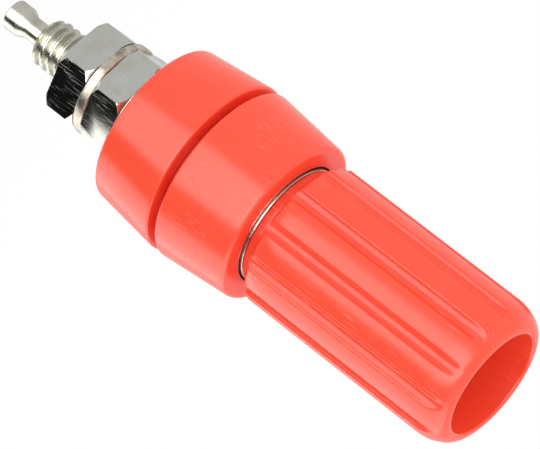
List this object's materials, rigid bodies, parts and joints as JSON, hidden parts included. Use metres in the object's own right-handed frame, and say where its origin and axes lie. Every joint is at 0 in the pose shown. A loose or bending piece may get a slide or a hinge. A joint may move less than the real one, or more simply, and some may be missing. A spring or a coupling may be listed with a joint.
{
  "type": "binding post",
  "caption": "Panel binding post with a fluted screw-down knob for a 4 mm plug or bare wire, two tapered insulators, rear nuts and a solder turret.",
  "frame": {"origin": "on the post's axis, in the plane where the front insulator meets the outer face of the panel", "axes": "+Z along the post, out of the panel, towards the knob's mouth; +X along the cross hole for the wire"},
  "size_m": [0.0152, 0.0152, 0.0501],
  "materials": {
    "red_plastic": "glossy moulded plastic, lightly scuffed",
    "nickel_stud": "turned brass, warm nickel plating",
    "nickel_hardware": "bright nickel plating over brass, scratched flats",
    "brass_insert": "turned brass"
  },
  "bodies": {
    "post": {"terminal_stud": "nickel_stud", "front_insulator": "red_plastic"},
    "rear_clamp": {"rear_insulator": "red_plastic", "inner_washer": "nickel_hardware"},
    "inner_nut": {"inner_nut": "nickel_hardware"},
    "outer_washer": {"outer_washer": "nickel_hardware"},
    "outer_nut": {"outer_nut": "nickel_hardware"},
    "knob_insert": {"knob_insert": "brass_insert"},
    "knob": {"knob_shell": "red_plastic"}
  },
  "joints": [
    {"name": "rear_clamp_travel", "type": "slide", "parent": "post", "child": "rear_clamp", "axis": [0, 0, -1], "range_m": [0, 0.00198]},
    {"name": "inner_nut_turn", "type": "hinge", "parent": "rear_clamp", "child": "inner_nut", "pos_m": [0, 0, -0.0096], "axis": [0, 0, -1], "range_deg": [0, 900]},
    {"name": "outer_washer_travel", "type": "slide", "parent": "rear_clamp", "child": "outer_washer", "axis": [0, 0, -1], "range_m": [0, 0.00159]},
    {"name": "outer_nut_turn", "type": "hinge", "parent": "outer_washer", "child": "outer_nut", "pos_m": [0, 0, -0.0133], "axis": [0, 0, -1], "range_deg": [0, 720]},
    {"name": "knob_travel", "type": "slide", "parent": "post", "child": "knob_insert", "axis": [0, 0, 1], "range_m": [0, 0.00453]},
    {"name": "knob_turn", "type": "hinge", "parent": "knob_insert", "child": "knob", "pos_m": [0, 0, 0.0178], "axis": [0, 0, 1], "range_deg": [0, 1800]}
  ],
  "couplings": [
    {"joint": "inner_nut_turn", "follows": "rear_clamp_travel", "rad_per_m": 7915.8},
    {"joint": "outer_nut_turn", "follows": "outer_washer_travel", "rad_per_m": 7915.8},
    {"joint": "knob_turn", "follows": "knob_travel", "rad_per_m": 6927.4}
  ]
}
